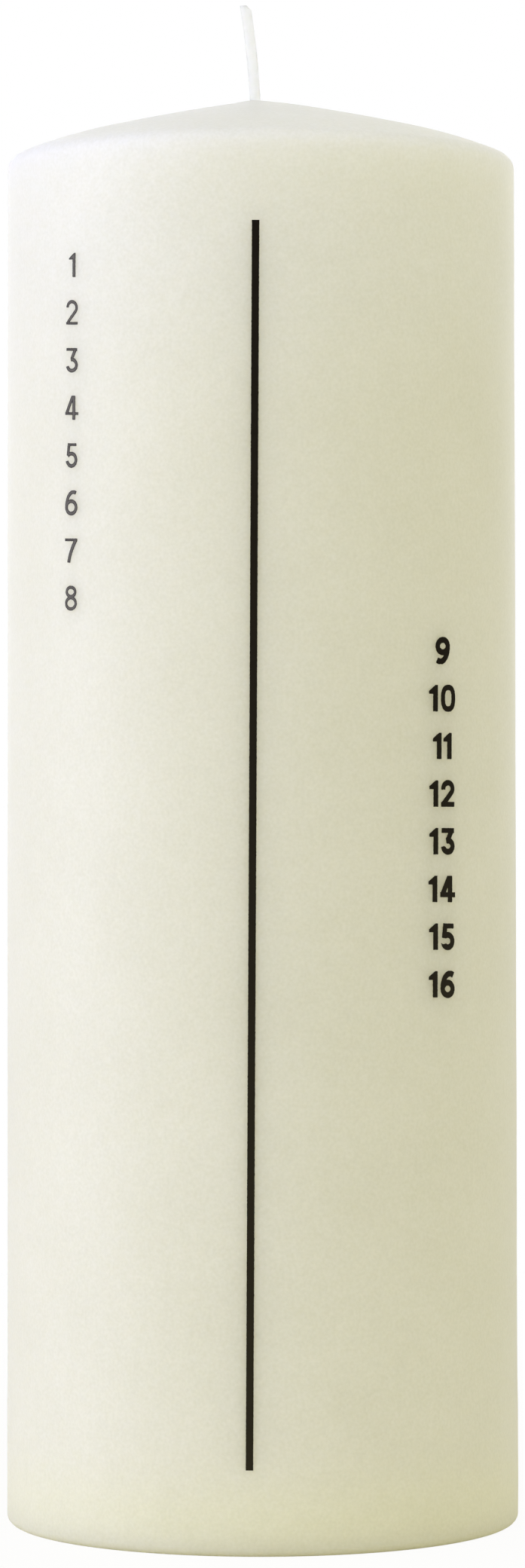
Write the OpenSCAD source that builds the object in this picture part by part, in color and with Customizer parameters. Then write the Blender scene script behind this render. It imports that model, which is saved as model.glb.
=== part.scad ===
// Calendar candle: a cast pillar with a printed day scale down its front.
// Units are millimetres. The origin is the centre of the base, +Z is up
// and the printed line is on the front, at -Y.

/* [Wax body] */
// Diameter of the foot, the standard size that holders are made for
foot_d = 70.0; // [50:0.5:90]
// Height of the crown's top above the base, without the wick
body_h = 194.5; // [150:0.5:260]
// Radius of the rounded lower edge
foot_edge_r = 1.2; // [0.4:0.1:2]
// Height of the straight foot, at its full diameter
foot_h = 16.0; // [8:0.5:30]
// Height over which the foot eases into the wall
foot_ease_h = 4.0; // [1:0.5:10]
// How far the wall starts inside the foot, a side
wall_inset = 0.07; // [0.02:0.01:0.5]
// Mould draft of the wall from the foot to the shoulder, a side
wall_draft = 0.25; // [0.05:0.01:1]

/* [Crown] */
// Radius of the small flat around the wick
apex_flat_r = 1.3; // [1:0.1:2]
// Slope of the crown next to that flat, in degrees
slope_in = 10.5; // [6:0.1:12]
// Slope where the crown bends over, in degrees
slope_mid = 13.65; // [12.5:0.05:16]
// Slope where the shoulder's edge begins, in degrees
slope_out = 22.0; // [18:0.1:30]
// Where the crown bends over, as a share of the wall's radius
bend_share = 0.69; // [0.5:0.01:0.8]
// Radius of the shoulder's rounded edge
shoulder_r = 2.0; // [1:0.1:4]

/* [Wick] */
// Thickness of the wick
wick_d = 1.5; // [1:0.1:2.4]
// Sideways place of the wick, off the candle's centre
wick_x = -0.6; // [-1.5:0.1:1.5]
// Length of the wick above the crown
wick_free_h = 13.1; // [5:0.1:25]
// Depth below the crown at which the wick starts to lean
wick_lean_depth = 6.2; // [2:0.1:12]
// Radius of the curve in which the wick leans over
wick_lean_r = 125.0; // [60:1:250]
// Angle of the slanted cut at the wick's tip, in degrees
tip_cut = 20.0; // [0:1:40]

/* [Wick sustainer] */
// Diameter of the tinplate disc in the base
disc_d = 15.0; // [10:0.5:20]
// Thickness of the tinplate
plate_t = 0.25; // [0.2:0.05:0.35]
// Height of the collar above the disc
collar_h = 5.0; // [2:0.5:10]
// Radius of the bend between the disc and the collar
collar_bend_r = 0.6; // [0.3:0.1:1]
// Depth of the recess in the base that the disc sits in
recess_depth = 0.8; // [0.7:0.1:2]
// Space between the disc's rim and the recess, a side
recess_gap = 0.5; // [0.2:0.1:1]
// How far the wick's lower end stands out under the disc
wick_tail = 0.3; // [0.1:0.05:0.3]

/* [Printed line] */
// Width of the printed line
line_w = 0.95; // [0.5:0.05:2]
// Height of the line's lower end above the base
line_z0 = 11.4; // [5:0.1:30]
// Distance of the line's upper end below the crown's top
line_drop = 20.1; // [18:0.1:40]
// Thickness of the film of ink
ink_t = 0.08; // [0.04:0.01:0.2]
// Lean of the whole print, its top to the right seen from the front
print_skew = 0.36; // [-1:0.02:1]

/* [Hidden] */
$fn = 128;
// small gap that keeps touching pieces from sharing volume
gap = 0.01;
over = 1;
foot_r = foot_d / 2;
wall_r0 = foot_r - wall_inset;
wall_r1 = wall_r0 - wall_draft;
wall_z0 = foot_h + foot_ease_h;
bend_r = wall_r1 * bend_share;

// crown: two arcs and the shoulder's edge, each tangent to the next
crown_r = (bend_r - apex_flat_r) / (sin(slope_mid) - sin(slope_in));
edge_in_r = wall_r1 - shoulder_r + shoulder_r * sin(slope_out);
haunch_r = (edge_in_r - bend_r) / (sin(slope_out) - sin(slope_mid));
crown_c = [apex_flat_r - crown_r * sin(slope_in), body_h - crown_r * cos(slope_in)];
bend_z = crown_c[1] + crown_r * cos(slope_mid);
haunch_c = [bend_r - haunch_r * sin(slope_mid), bend_z - haunch_r * cos(slope_mid)];
edge_in_z = haunch_c[1] + haunch_r * cos(slope_out);
shoulder_c = [wall_r1 - shoulder_r, edge_in_z - shoulder_r * cos(slope_out)];
wall_z1 = shoulder_c[1];

// wick
wick_r = wick_d / 2;
lean_z = body_h - wick_lean_depth;
lean_angle = asin((wick_lean_depth + wick_free_h) / wick_lean_r);
disc_z1 = recess_depth - gap;
disc_z0 = disc_z1 - plate_t;
wick_z0 = disc_z0 - wick_tail;
bore_r = wick_r + gap;
collar_r = bore_r + plate_t;

// printed line
line_z1 = body_h - line_drop;
line_mid = (line_z0 + line_z1) / 2;
line_len = line_z1 - line_z0;
film_r = foot_r + gap;

// direction at an angle from upright, turning outwards
function spoke(a) = [sin(a), cos(a)];

// the strip just inside a circle, between two of its spokes
module arc_strip(c, r, a0, a1, d) {
    intersection() {
        translate(c) circle(r = r);
        polygon([c + (r - d) * spoke(a0), c + (r + 1) * spoke(a0),
                 c + (r + 1) * spoke(a1), c + (r - d) * spoke(a1)]);
    }
}

// half outline of the wax, from the centre line outwards
module wax_outline() {
    polygon([[0, 0], [foot_r - foot_edge_r, 0], [foot_r, foot_edge_r], [foot_r, foot_h],
             [wall_r0, wall_z0], [wall_r1, wall_z1],
             shoulder_c + shoulder_r * spoke(slope_out), crown_c + crown_r * spoke(slope_mid),
             [apex_flat_r, body_h], [0, body_h]]);
    arc_strip(crown_c, crown_r, slope_in, slope_mid, 2);
    arc_strip(haunch_c, haunch_r, slope_mid, slope_out, 2);
    arc_strip(shoulder_c, shoulder_r, slope_out, 90, shoulder_r / 2);
    arc_strip([foot_r - foot_edge_r, foot_edge_r], foot_edge_r, 90, 180, foot_edge_r / 2);
}

// the wick's path: straight in the wax, then leaning over to the left
module wick_path(r, z0, lean) {
    translate([wick_x, 0, z0]) cylinder(r = r, h = lean_z - z0);
    translate([wick_x - wick_lean_r, 0, lean_z]) rotate([90, 0, 0])
        rotate_extrude(angle = lean) translate([wick_lean_r, 0]) circle(r = r);
}

module wax_body() {
    color([0.93, 0.91, 0.82]) difference() {
        rotate_extrude() wax_outline();
        wick_path(bore_r, -over, lean_angle);
        translate([wick_x, 0, -over]) cylinder(d = disc_d + 2 * recess_gap, h = recess_depth + over);
        translate([wick_x, 0, -over])
            cylinder(r = collar_r + collar_bend_r + gap, h = disc_z1 + collar_bend_r + gap + over);
        translate([wick_x, 0, -over]) cylinder(r = collar_r + gap, h = disc_z1 + collar_h + gap + over);
    }
}

module wick() {
    color([0.95, 0.94, 0.9]) difference() {
        wick_path(wick_r, wick_z0, lean_angle);
        // slanted cut of the scissors, lower on the right
        translate([wick_x - wick_lean_r, 0, lean_z]) rotate([0, -lean_angle, 0])
            translate([wick_lean_r, 0, 0]) rotate([0, tip_cut, 0])
                translate([-5, -5, 0]) cube([10, 10, 5]);
    }
}

module wick_sustainer() {
    color([0.72, 0.72, 0.7]) translate([wick_x, 0, 0]) rotate_extrude() {
        translate([bore_r, disc_z0]) square([disc_d / 2 - bore_r, plate_t]);
        translate([bore_r, disc_z0]) square([plate_t, plate_t + collar_h]);
        // the bend where the collar is drawn up out of the disc
        difference() {
            translate([collar_r - plate_t / 2, disc_z1 - plate_t / 2])
                square([collar_bend_r + plate_t / 2, collar_bend_r + plate_t / 2]);
            translate([collar_r + collar_bend_r, disc_z1 + collar_bend_r]) circle(r = collar_bend_r);
        }
    }
}

module printed_line() {
    color([0.12, 0.09, 0.08]) intersection() {
        // a film of ink over the whole wall, cut down to the leaning stripe
        rotate_extrude() polygon([[film_r, 0], [film_r + ink_t, 0], [film_r + ink_t, foot_h],
            [wall_r0 + gap + ink_t, wall_z0], [wall_r1 + gap + ink_t, wall_z1],
            [wall_r1 + gap, wall_z1], [wall_r0 + gap, wall_z0], [film_r, foot_h]]);
        translate([0, 0, line_mid]) rotate([0, print_skew, 0])
            translate([-line_w / 2, -foot_d, -line_len / 2]) cube([line_w, foot_d, line_len]);
    }
}

wax_body();
wick();
wick_sustainer();
printed_line();
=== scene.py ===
# %% [markdown]
# # A calendar candle
# A calendar candle is a thick ivory pillar with the days of a countdown printed down its side. Each day
# it is burned to the next numeral. This lesson dresses the measured model for a studio picture: the wax
# as a turned skin, the wick as a skin of wax over a real plait of yarns, the tinplate sustainer in the
# base, and the print as thin films of ink. Every piece keeps the model's real size and place.

# %% Load the measured candle
import math
from functools import partial

import bmesh
import bpy
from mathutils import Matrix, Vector, noise


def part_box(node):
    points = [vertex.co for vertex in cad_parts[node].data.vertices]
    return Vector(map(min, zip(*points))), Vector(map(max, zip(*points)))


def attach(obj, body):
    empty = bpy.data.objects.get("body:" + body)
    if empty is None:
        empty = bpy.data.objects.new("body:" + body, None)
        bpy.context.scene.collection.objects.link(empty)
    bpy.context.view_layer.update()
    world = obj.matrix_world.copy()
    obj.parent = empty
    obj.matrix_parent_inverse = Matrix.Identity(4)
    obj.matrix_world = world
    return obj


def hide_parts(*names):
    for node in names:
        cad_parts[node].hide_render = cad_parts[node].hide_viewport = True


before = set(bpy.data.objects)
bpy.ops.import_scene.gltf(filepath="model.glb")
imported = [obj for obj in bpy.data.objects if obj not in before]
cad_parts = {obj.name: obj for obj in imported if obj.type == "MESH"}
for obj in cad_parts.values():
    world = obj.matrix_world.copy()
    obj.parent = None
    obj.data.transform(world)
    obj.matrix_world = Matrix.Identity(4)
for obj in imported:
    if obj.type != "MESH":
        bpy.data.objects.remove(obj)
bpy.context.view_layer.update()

MM = 0.001
TAU = math.tau

# %% [markdown]
# ## Sizes
# The foot's radius and the height of the wax are read from the model. The few sizes that shape the
# crown, the wick and the base are the ones that a maker would write on the drawing, in millimetres.

# %% Sizes of the wax, the wick and the base
wax_low, wax_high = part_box("wax_body")
body_h = wax_high.z / MM
# the model's round sides are facets, so its width is read to a tenth
foot_r = round((wax_high.x - wax_low.x) / 2 / MM, 1)
foot_edge_r, foot_h, foot_ease_h = 1.2, 16.0, 4.0
wall_inset, wall_draft = 0.07, 0.25
wall_z0 = foot_h + foot_ease_h
wall_r0 = foot_r - wall_inset
wall_r1 = wall_r0 - wall_draft
apex_flat_r, shoulder_r = 1.3, 2.0
slope_in, slope_mid, slope_out = 10.5, 13.65, 22.0
bend_share = 0.69
bend_r = bend_share * wall_r1

wick_r, wick_x, wick_z0, wick_free_h = 0.75, -0.6, 0.24, 13.1
lean_depth, lean_r = 6.2, 125.0
lean_z = body_h - lean_depth

disc_r, plate_t, collar_h = 7.5, 0.25, 5.0
recess_r, recess_depth = 8.0, 0.8
print("foot", foot_r, "mm, wax", round(body_h, 2), "mm high, wick leans from", round(lean_z, 2), "mm")

# %% [markdown]
# ## One helper for nodes
# Both the shapes and the finishes are built from nodes. One small function adds a node, sets it up and
# links it, and gives back the output that the next node needs. Each tree keeps it under the name put.

# %% Helpers for node trees
MATH, VECTOR_MATH = "ShaderNodeMath", "ShaderNodeVectorMath"
# how a Mix node is set to mix colours, which then go into its inputs 6 and 7
RGBA = {"out": 2, "data_type": "RGBA"}


def plug(node, inputs):
    """Gives inputs, by name or in their order, their values or links from other nodes."""
    for socket, value in inputs.items() if isinstance(inputs, dict) else enumerate(inputs):
        if isinstance(value, bpy.types.NodeSocket):
            node.id_data.links.new(value, node.inputs[socket])
        else:
            node.inputs[socket].default_value = value


def add_node(tree, kind, inputs=(), out=0, **settings):
    """Adds a node with its settings and links, and returns one output, or all if out is None."""
    node = tree.nodes.new(kind)
    for name, value in settings.items():
        setattr(node, name, value)
    plug(node, inputs)
    return node.outputs if out is None else node.outputs[out]


def start_tree(name, **sockets):
    """A Geometry Nodes tree, its put and its inputs. sockets lists the inputs' names by kind."""
    tree = bpy.data.node_groups.new(name, "GeometryNodeTree")
    for way in ("OUTPUT", "INPUT"):
        tree.interface.new_socket("Mesh", in_out=way, socket_type="NodeSocketGeometry")
    for kind, labels in {**sockets, "Material": ["Material"]}.items():
        for label in labels:
            tree.interface.new_socket(label, in_out="INPUT", socket_type="NodeSocket" + kind)
    put = partial(add_node, tree)
    return tree, put, put("NodeGroupInput", out=None)


def end_tree(put, given, mesh):
    """Makes instances real, gives the mesh its material and closes the tree."""
    real = put("GeometryNodeRealizeInstances", [mesh])
    done = put("GeometryNodeSetMaterial", {"Geometry": real, "Material": given["Material"]})
    put("NodeGroupOutput", [done], out=None)


print("nodes that only calculate are", MATH, "and", VECTOR_MATH)

# %% Helpers for pieces
def grow(piece, tree, values):
    """Runs a Geometry Nodes tree on a piece, with values for its inputs, and leaves a plain mesh."""
    modifier = piece.modifiers.new(tree.name, "NODES")
    modifier.node_group = tree
    for item in tree.interface.items_tree:
        if item.in_out == "INPUT" and item.name in values:
            modifier[item.identifier] = values[item.name]
    bpy.context.view_layer.update()
    depsgraph = bpy.context.evaluated_depsgraph_get()
    mesh = bpy.data.meshes.new_from_object(piece.evaluated_get(depsgraph), depsgraph=depsgraph)
    piece.modifiers.clear()
    piece.data = mesh
    mesh.name = piece.name
    return piece


def new_piece(name, points, edges=(), faces=(), marks=None):
    """An object at the origin with a mesh in metres. marks holds a number for each point, by name."""
    mesh = bpy.data.meshes.new(name)
    mesh.from_pydata(points, edges, faces)
    for label, numbers in (marks or {}).items():
        mesh.attributes.new(label, "FLOAT", "POINT").data.foreach_set("value", numbers)
    piece = bpy.data.objects.new(name, mesh)
    bpy.context.scene.collection.objects.link(piece)
    return piece


def chain(count):
    """The edges that join so many points, each to the next."""
    return [(k, k + 1) for k in range(count - 1)]


def linear(colour):
    """An sRGB hex colour as linear red, green, blue and alpha."""
    parts = [int(colour[k:k + 2], 16) / 255 for k in (1, 3, 5)]
    return [p / 12.92 if p <= 0.04045 else ((p + 0.055) / 1.055) ** 2.4 for p in parts] + [1.0]


def new_material(name):
    """A material, its put, its Principled shader and the point of the object that it colours."""
    material = bpy.data.materials.new(name)
    material.use_nodes = True
    put = partial(add_node, material.node_tree)
    shader = material.node_tree.nodes["Principled BSDF"]
    return material, put, shader, put("ShaderNodeTexCoord", out="Object")


print("helpers ready, a test colour:", [round(c, 3) for c in linear("#ECE8D8")])

# %% [markdown]
# ## Finish: cast paraffin wax
# The body is paraffin wax with some stearin, cast in a mould and pulled out after a day. Light goes
# about a centimetre into it, red furthest, so it glows and its edges look soft: that is subsurface
# scattering. Its skin is satin. Crystals mottle it and frost it. Painted light from above makes it
# palest below the crown, and painted warm light makes it a little warmer by the foot. The mould leaves
# fine upright drag marks and pores.
# Noise of a known size draws all of it, because it has no seam, as a painted image would.

# %% Cast paraffin wax
wax, put, shader, place = new_material("cast_paraffin_wax")
cloud_mm, crystal_mm, drag_mm = 14.0, 1.8, 0.7
# frost and pores are finer on a real candle, and are drawn at about 0.4 mm, so that they show
frost_mm, pore_mm = 0.45, 0.35
clouds, crystals, frost, pores = [
    put("ShaderNodeTexNoise", {"Vector": place, "Scale": 1 / (size * MM), "Detail": detail})
    for size, detail in ((cloud_mm, 3.0), (crystal_mm, 2.0), (frost_mm, 1.0), (pore_mm, 1.0))]
mottle = put("ShaderNodeMix", {"Factor": 0.4, 2: clouds, 3: crystals})
mottle = put("ShaderNodeMix", {"Factor": 0.5, 2: mottle, 3: frost})

height = put("ShaderNodeSeparateXYZ", [place], out="Z")
# painted light: from 50 mm below the top up to 8 mm below it the wax is made paler and less yellow, as if
# lit from above
top_light_from, top_light_to, foot_light_h = body_h - 50, body_h - 8, 14
painted_top_light = put("ShaderNodeMapRange", {"Value": height, "From Min": top_light_from * MM,
                                   "From Max": top_light_to * MM, "To Max": 0.75},
            interpolation_type="SMOOTHSTEP")
# painted warm light: the wax is a little yellower at the foot, fading out 14 mm up
above_foot = put("ShaderNodeMapRange", {"Value": height, "From Max": foot_light_h * MM},
                 interpolation_type="SMOOTHSTEP")
# three layers: the wax's own mottle, painted light that is paler towards the crown, and painted warm
# light at the foot
body, cast, painted_foot_light = [
    put("ShaderNodeMix", {"Factor": share, 6: linear(first), 7: linear(second)}, **RGBA)
    for share, first, second in ((mottle, "#E4E4D4", "#FBFBF4"), (painted_top_light, "#FAF9EE", "#FEFEFB"),
                                 (above_foot, "#FFFFF5", "#FFFFFF"))]
colour = painted_foot_light
for layer in (cast, body):
    colour = put("ShaderNodeMix", {"Factor": 1.0, 6: layer, 7: colour}, **RGBA, blend_type="MULTIPLY")

drag = put("ShaderNodeMapping", {"Vector": place, "Scale": (1.0, 1.0, 0.04)})
drag_marks = put("ShaderNodeTexNoise", {"Vector": drag, "Scale": 1 / (drag_mm * MM), "Detail": 2.0})
relief = put("ShaderNodeMix", {"Factor": 0.6, 2: drag_marks, 3: pores})
plug(shader, {
    "Base Color": colour, "IOR": 1.44,
    "Normal": put("ShaderNodeBump", {"Height": relief, "Strength": 0.12, "Distance": 0.05 * MM}),
    "Roughness": put("ShaderNodeMapRange", {"Value": crystals, "To Min": 0.42, "To Max": 0.52}),
    "Subsurface Weight": 1.0, "Subsurface Radius": (1.0, 0.95, 0.88), "Subsurface Scale": 11 * MM})
print(wax.name, len(wax.node_tree.nodes), "nodes")

# %% [markdown]
# ## Finish: primed cotton
# The wick is braided from bleached cotton and dipped in wax once, which lays the fibres flat and gives
# them a faint satin. Each yarn keeps its fine twist. Loose cotton full of wax lets light through, so
# part of the shader is transmission, with a low IOR, because some air is left between the fibres.

# %% Primed cotton
cotton, put, shader, place = new_material("primed_cotton_yarn")
# at scale 1 a wave texture runs through 20 radians a metre, and here it runs through one in 0.25 mm,
# so that a yarn's twist repeats every 1.6 mm
wave_radians, radian_mm, fibre_mm = 20, 0.25, 0.4
turned = put("ShaderNodeMapping", {"Vector": place, "Rotation": (0.0, math.radians(35), 0.0)})
twist = put("ShaderNodeTexWave", {"Vector": turned, "Scale": 1 / (radian_mm * MM) / wave_radians,
                                  "Distortion": 2.0, "Detail": 1.0}, bands_direction="Z")
fibre = put("ShaderNodeTexNoise", {"Vector": place, "Scale": 1 / (fibre_mm * MM), "Detail": 2.0})
mix = put("ShaderNodeMix", {"Factor": 0.5, 2: twist, 3: fibre})
colour = put("ShaderNodeMix", {"Factor": mix, 6: linear("#F5F6F0"), 7: linear("#FBFBF7")}, **RGBA)
plug(shader, {
    "Base Color": colour, "Roughness": 0.6, "IOR": 1.2, "Transmission Weight": 0.65,
    "Normal": put("ShaderNodeBump", {"Height": mix, "Strength": 0.12, "Distance": 0.05 * MM}),
    "Subsurface Weight": 0.5, "Subsurface Radius": (1.0, 0.9, 0.8), "Subsurface Scale": 0.8 * MM})
print(cotton.name, len(cotton.node_tree.nodes), "nodes")

# %% [markdown]
# ## Finish: tinplate
# The sustainer is stamped from rolled tinplate, thin steel with a bright skin of tin. Rolling leaves
# fine straight lines in one direction, which stretch its highlights.

# %% Rolled tinplate
tinplate, put, shader, place = new_material("rolled_tinplate")
# the lines of real rolling are finer, and are drawn 0.25 mm apart, so that they show
rolled_mm, stain_mm = 0.25, 4
rolled = put("ShaderNodeMapping", {"Vector": place, "Scale": (0.05, 1.0, 1.0)})
lines = put("ShaderNodeTexNoise", {"Vector": rolled, "Scale": 1 / (rolled_mm * MM), "Detail": 2.0})
stain = put("ShaderNodeTexNoise", {"Vector": place, "Scale": 1 / (stain_mm * MM), "Detail": 2.0})
mix = put("ShaderNodeMix", {"Factor": 0.4, 2: lines, 3: stain})
colour = put("ShaderNodeMix", {"Factor": mix, 6: linear("#B9B8B2"), 7: linear("#DADAD6")}, **RGBA)
plug(shader, {
    "Base Color": colour, "Metallic": 1.0,
    "Roughness": put("ShaderNodeMapRange", {"Value": lines, "To Min": 0.22, "To Max": 0.4}),
    "Normal": put("ShaderNodeBump", {"Height": lines, "Strength": 0.15, "Distance": 0.02 * MM})})
print(tinplate.name, len(tinplate.node_tree.nodes), "nodes")

# %% [markdown]
# ## Finish: screen-printing ink
# The print is a brown-black ink pressed through a fine mesh, with a low satin sheen. Where little ink
# was left, the middle of a stroke is thinner than its edges and shows the grid of the mesh. Two marks
# on the print's meshes say how far a point is from the stroke's edge and how well it is covered. On the
# left row of numerals the low coverage is partly a painted sheen. The finish reads them, so it stays
# sharp at any distance, which an image of ink wouldn't.

# %% Screen-printing ink
ink, put, shader, place = new_material("screen_printing_ink")
# a real mesh has a thread every 0.13 mm, and it is drawn at 0.2 mm, so that it shows
thread_mm, patch_mm = 0.2, 0.7
edge, cover = [put("ShaderNodeAttribute", out="Fac", attribute_name=mark)
               for mark in ("edge_mm", "cover")]
threads = put("ShaderNodeTexVoronoi", {"Vector": place, "Scale": 1 / (thread_mm * MM),
                                       "Randomness": 0.6})
patch = put("ShaderNodeTexNoise", {"Vector": place, "Scale": 1 / (patch_mm * MM), "Detail": 3.0})
inner = put("ShaderNodeMapRange", {"Value": edge, "From Min": 0.04, "From Max": 0.2})
thin = put(MATH, [1.0, cover], operation="SUBTRACT")
core = put(MATH, [inner, thin], operation="MULTIPLY")
grid = put(MATH, [threads, 0.35, patch], operation="MULTIPLY_ADD")
thin_ink_and_sheen = put(MATH, [grid, core], operation="MULTIPLY")
# where coverage is low the ink is paler: thin ink, and on the left row also a painted sheen of the key
# light
colour = put("ShaderNodeMix", {"Factor": thin_ink_and_sheen, 6: linear("#0D0706"), 7: linear("#8F8B80")}, **RGBA)
plug(shader, {
    "Base Color": colour, "IOR": 1.55, "Specular IOR Level": 0.36, "Specular Tint": linear("#FFF6D2"),
    "Roughness": put("ShaderNodeMapRange", {"Value": patch, "To Min": 0.28, "To Max": 0.42}),
    "Normal": put("ShaderNodeBump", {"Height": threads, "Strength": 0.2, "Distance": 0.02 * MM})})
print(ink.name, len(ink.node_tree.nodes), "nodes")

# %% [markdown]
# ## A lathe in Geometry Nodes
# The wax body and the sustainer are turned shapes. The Screw modifier could turn them, but not bend
# them, so one tree of our own serves both. It takes a profile, a line of points beside the upright,
# lays out a grid, reads the profile's point for each column and bends the grid round. Two marks on the
# profile change it: follow moves a point sideways with the wick, which isn't quite central, and crimp
# pinches the collar. A little noise makes cast wax slightly wavy, but not at the base, where the
# candle stands, nor at the wick.

# %% Two bends of the lathe
def wick_shift(put, given, height):
    """How far the wick is off the centre at a height: straight, then on an arc to the left."""
    risen = put(MATH, [height, given["Lean Height"]], operation="SUBTRACT")
    risen = put(MATH, [risen, 0.0], operation="MAXIMUM")
    share = put(MATH, [risen, given["Lean Radius"]], operation="DIVIDE")
    lean = put(MATH, [share], operation="ARCSINE")
    lean = put(MATH, [lean], operation="COSINE")
    lean = put(MATH, [lean, 1.0], operation="SUBTRACT")
    return put(MATH, [lean, given["Lean Radius"], given["Wick Offset"]], operation="MULTIPLY_ADD")


def wavy_radius(put, given, radius, cosine, sine, height):
    """The radius with the waviness of cast wax."""
    # heights and radii in millimetres at which the waviness starts and is full
    still_z, wavy_z, still_r, wavy_r = 1, 6, 2, 5
    across, deep = [put(MATH, [radius, part], operation="MULTIPLY") for part in (cosine, sine)]
    turned = put("ShaderNodeCombineXYZ", [across, deep, height])
    cells = put(MATH, [1.0, given["Wave Size"]], operation="DIVIDE")
    wave = put("ShaderNodeTexNoise", {"Vector": turned, "Scale": cells, "Detail": 2.0})
    wave = put(MATH, [wave, 0.5], operation="SUBTRACT")
    above = put("ShaderNodeMapRange", {"Value": height, "From Min": still_z * MM,
                                       "From Max": wavy_z * MM}, interpolation_type="SMOOTHSTEP")
    outside = put("ShaderNodeMapRange", {"Value": radius, "From Min": still_r * MM,
                                         "From Max": wavy_r * MM})
    depth = put(MATH, [given["Waviness"], above], operation="MULTIPLY")
    depth = put(MATH, [depth, outside], operation="MULTIPLY")
    return put(MATH, [wave, depth, radius], operation="MULTIPLY_ADD")


print("bends ready")

# %% The lathe tree
PINCHES = 4.0


def lathe_tree():
    """Bends a grid round into the turned shape of a profile."""
    tree, put, given = start_tree(
        "Lathe", Int=["Sides"],
        Float=["Waviness", "Wave Size", "Wick Offset", "Lean Height", "Lean Radius"])
    count = put("GeometryNodeAttributeDomainSize", [given["Mesh"]], component="MESH")
    columns = put(MATH, [given["Sides"], 1.0], operation="ADD")
    grid = put("GeometryNodeMeshGrid", {"Size X": 1.0, "Size Y": 1.0, "Vertices X": count,
                                        "Vertices Y": columns})
    spot = put("GeometryNodeInputPosition")
    flat = put("ShaderNodeSeparateXYZ", [spot], out=None)
    angle = put(MATH, [flat["Y"], TAU, TAU / 2], operation="MULTIPLY_ADD")
    cosine, sine = [put(MATH, [angle], operation=work) for work in ("COSINE", "SINE")]

    # the profile's point for this column, and its two marks
    last = put(MATH, [count, 1.0], operation="SUBTRACT")
    along = put(MATH, [flat["X"], 0.5], operation="ADD")
    exact = put(MATH, [along, last], operation="MULTIPLY")
    read = {"Geometry": given["Mesh"], "Index": put(MATH, [exact], operation="ROUND")}
    at = put("GeometryNodeSampleIndex", {**read, "Value": spot}, data_type="FLOAT_VECTOR")
    marks = [put("GeometryNodeInputNamedAttribute", {"Name": name}, data_type="FLOAT")
             for name in ("follow", "crimp")]
    follow, crimp = [put("GeometryNodeSampleIndex", {**read, "Value": mark}, data_type="FLOAT")
                     for mark in marks]
    profile = put("ShaderNodeSeparateXYZ", [at], out=None)
    radius, height = profile["X"], profile["Z"]

    # pinches round the collar, then the waviness and the wick's path
    pinch = put(MATH, [angle, PINCHES], operation="MULTIPLY")
    pinch = put(MATH, [pinch], operation="COSINE")
    pinch = put(MATH, [pinch, crimp], operation="MULTIPLY")
    radius = put(MATH, [radius, pinch], operation="ADD")
    radius = wavy_radius(put, given, radius, cosine, sine, height)
    shift = wick_shift(put, given, height)
    shift = put(MATH, [shift, follow], operation="MULTIPLY")
    x = put(MATH, [radius, cosine, shift], operation="MULTIPLY_ADD")
    y = put(MATH, [radius, sine], operation="MULTIPLY")
    turned = put("ShaderNodeCombineXYZ", [x, y, height])
    bent = put("GeometryNodeSetPosition", {"Geometry": grid, "Position": turned})
    closed = put("GeometryNodeMergeByDistance", {"Geometry": bent, "Distance": 0.002 * MM})
    end_tree(put, given, put("GeometryNodeSetShadeSmooth", {"Geometry": closed}))
    return tree


LATHE = lathe_tree()
print(LATHE.name, len(LATHE.nodes), "nodes")

# %% [markdown]
# ## The wax body
# The profile is a closed line: from the centre over the meniscus, where wax has crept up the wick, over
# the crown, round the shoulder, down the drafted wall to the straight foot, in along the base to the
# sustainer's recess, and up the channel that the wick fills. It ends a little below the crown, and
# there the wick runs through the wax. The crown is two large arcs and a tight one, each tangent to the
# next, so three slopes and a few radii are enough to work it out.

# %% Lines and arcs of a profile
def spoke(slope):
    """Direction at an angle from upright, turning outwards, in degrees."""
    return math.sin(math.radians(slope)), math.cos(math.radians(slope))


def arc(centre, radius, start, end, steps):
    """Points on an arc of the profile, from one spoke to another."""
    turns = [start + (end - start) * k / steps for k in range(steps + 1)]
    return [(centre[0] + radius * spoke(t)[0], centre[1] + radius * spoke(t)[1]) for t in turns]


def walk(line, *legs):
    """Goes on straight from a line's last point to each corner, given with its number of steps."""
    for x, z, steps in legs:
        from_x, from_z = line[-1]
        line += [(from_x + (x - from_x) * k / steps, from_z + (z - from_z) * k / steps)
                 for k in range(1, steps + 1)]


crown_r = (bend_r - apex_flat_r) / (spoke(slope_mid)[0] - spoke(slope_in)[0])
crown_c = (apex_flat_r - crown_r * spoke(slope_in)[0], body_h - crown_r * spoke(slope_in)[1])
bend_z = crown_c[1] + crown_r * spoke(slope_mid)[1]
edge_in_r = wall_r1 - shoulder_r + shoulder_r * spoke(slope_out)[0]
haunch_r = (edge_in_r - bend_r) / (spoke(slope_out)[0] - spoke(slope_mid)[0])
haunch_c = (bend_r - haunch_r * spoke(slope_mid)[0], bend_z - haunch_r * spoke(slope_mid)[1])
wall_z1 = haunch_c[1] + haunch_r * spoke(slope_out)[1] - shoulder_r * spoke(slope_out)[1]
print("crown's arcs", round(crown_r), "and", round(haunch_r), "mm, wall up to", round(wall_z1, 1), "mm")

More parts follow.
